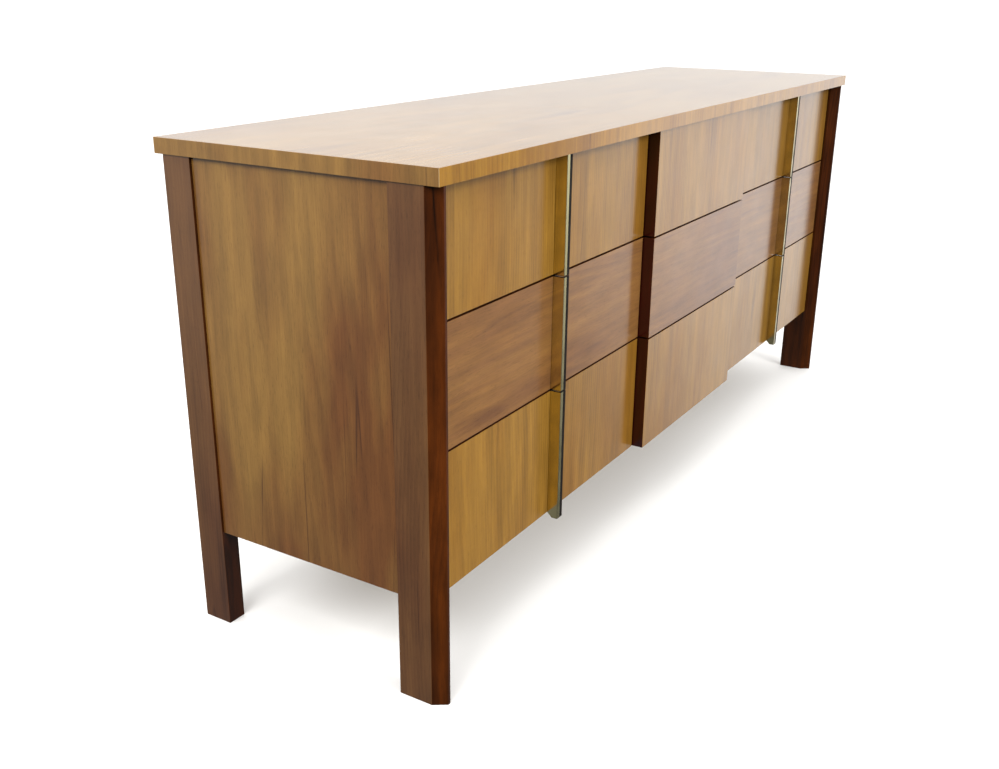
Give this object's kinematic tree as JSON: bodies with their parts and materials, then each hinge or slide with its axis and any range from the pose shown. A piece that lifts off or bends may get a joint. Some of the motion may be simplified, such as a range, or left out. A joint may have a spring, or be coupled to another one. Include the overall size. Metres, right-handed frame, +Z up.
{
  "type": "dresser with drawers",
  "caption": "Low walnut chest of drawers in three banks, its middle bank standing proud, on plank legs with tapered noses, with upright metal angle pulls.",
  "frame": {"origin": "on the floor under the middle of the top", "axes": "+X to the right along the width, +Y to the back, so that the drawer fronts face -Y, and +Z up"},
  "size_m": [1.778, 0.488, 0.77],
  "materials": {
    "walnut_top": "gloss",
    "walnut_edge": "satin",
    "dark_walnut": "satin",
    "walnut_ends": "satin",
    "walnut_upright": "satin",
    "walnut_crossways": "satin",
    "drawer_wood": "matte",
    "plywood": "matte",
    "brass": "polished",
    "steel": "satin"
  },
  "bodies": {
    "case": {"top_panel": "walnut_top", "top_lipping": "walnut_edge", "leg_front_left": "dark_walnut", "leg_front_right": "dark_walnut", "leg_rear_left": "dark_walnut", "leg_rear_right": "dark_walnut", "side_panel_left": "walnut_ends", "side_panel_right": "walnut_ends", "partition_left": "drawer_wood", "partition_right": "drawer_wood", "bottom_panel": "drawer_wood", "back_panel": "plywood", "top_rails": "drawer_wood", "shelves_left": "drawer_wood", "shelves_centre": "drawer_wood", "shelves_right": "drawer_wood", "drawer_guides": "drawer_wood", "back_screws": "steel"},
    "drawer_left_top": {"left_top_front": "walnut_upright", "left_top_sides": "drawer_wood", "left_top_back": "drawer_wood", "left_top_bottom": "plywood", "left_top_pull": "brass"},
    "drawer_left_middle": {"left_middle_front": "walnut_crossways", "left_middle_sides": "drawer_wood", "left_middle_back": "drawer_wood", "left_middle_bottom": "plywood", "left_middle_pull": "brass"},
    "drawer_left_bottom": {"left_bottom_front": "walnut_upright", "left_bottom_sides": "drawer_wood", "left_bottom_back": "drawer_wood", "left_bottom_bottom": "plywood", "left_bottom_pull": "brass"},
    "drawer_centre_top": {"centre_top_front": "walnut_upright", "centre_top_sides": "drawer_wood", "centre_top_back": "drawer_wood", "centre_top_bottom": "plywood"},
    "drawer_centre_middle": {"centre_middle_front": "walnut_crossways", "centre_middle_sides": "drawer_wood", "centre_middle_back": "drawer_wood", "centre_middle_bottom": "plywood"},
    "drawer_centre_bottom": {"centre_bottom_front": "walnut_upright", "centre_bottom_sides": "drawer_wood", "centre_bottom_back": "drawer_wood", "centre_bottom_bottom": "plywood"},
    "drawer_right_top": {"right_top_front": "walnut_upright", "right_top_sides": "drawer_wood", "right_top_back": "drawer_wood", "right_top_bottom": "plywood", "right_top_pull": "brass"},
    "drawer_right_middle": {"right_middle_front": "walnut_crossways", "right_middle_sides": "drawer_wood", "right_middle_back": "drawer_wood", "right_middle_bottom": "plywood", "right_middle_pull": "brass"},
    "drawer_right_bottom": {"right_bottom_front": "walnut_upright", "right_bottom_sides": "drawer_wood", "right_bottom_back": "drawer_wood", "right_bottom_bottom": "plywood", "right_bottom_pull": "brass"}
  },
  "joints": [
    {"name": "left_top_slide", "type": "slide", "parent": "case", "child": "drawer_left_top", "axis": [0, -1, 0], "range_m": [0, 0.3]},
    {"name": "left_middle_slide", "type": "slide", "parent": "case", "child": "drawer_left_middle", "axis": [0, -1, 0], "range_m": [0, 0.3]},
    {"name": "left_bottom_slide", "type": "slide", "parent": "case", "child": "drawer_left_bottom", "axis": [0, -1, 0], "range_m": [0, 0.3]},
    {"name": "centre_top_slide", "type": "slide", "parent": "case", "child": "drawer_centre_top", "axis": [0, -1, 0], "range_m": [0, 0.3]},
    {"name": "centre_middle_slide", "type": "slide", "parent": "case", "child": "drawer_centre_middle", "axis": [0, -1, 0], "range_m": [0, 0.3]},
    {"name": "centre_bottom_slide", "type": "slide", "parent": "case", "child": "drawer_centre_bottom", "axis": [0, -1, 0], "range_m": [0, 0.3]},
    {"name": "right_top_slide", "type": "slide", "parent": "case", "child": "drawer_right_top", "axis": [0, -1, 0], "range_m": [0, 0.3]},
    {"name": "right_middle_slide", "type": "slide", "parent": "case", "child": "drawer_right_middle", "axis": [0, -1, 0], "range_m": [0, 0.3]},
    {"name": "right_bottom_slide", "type": "slide", "parent": "case", "child": "drawer_right_bottom", "axis": [0, -1, 0], "range_m": [0, 0.3]}
  ]
}
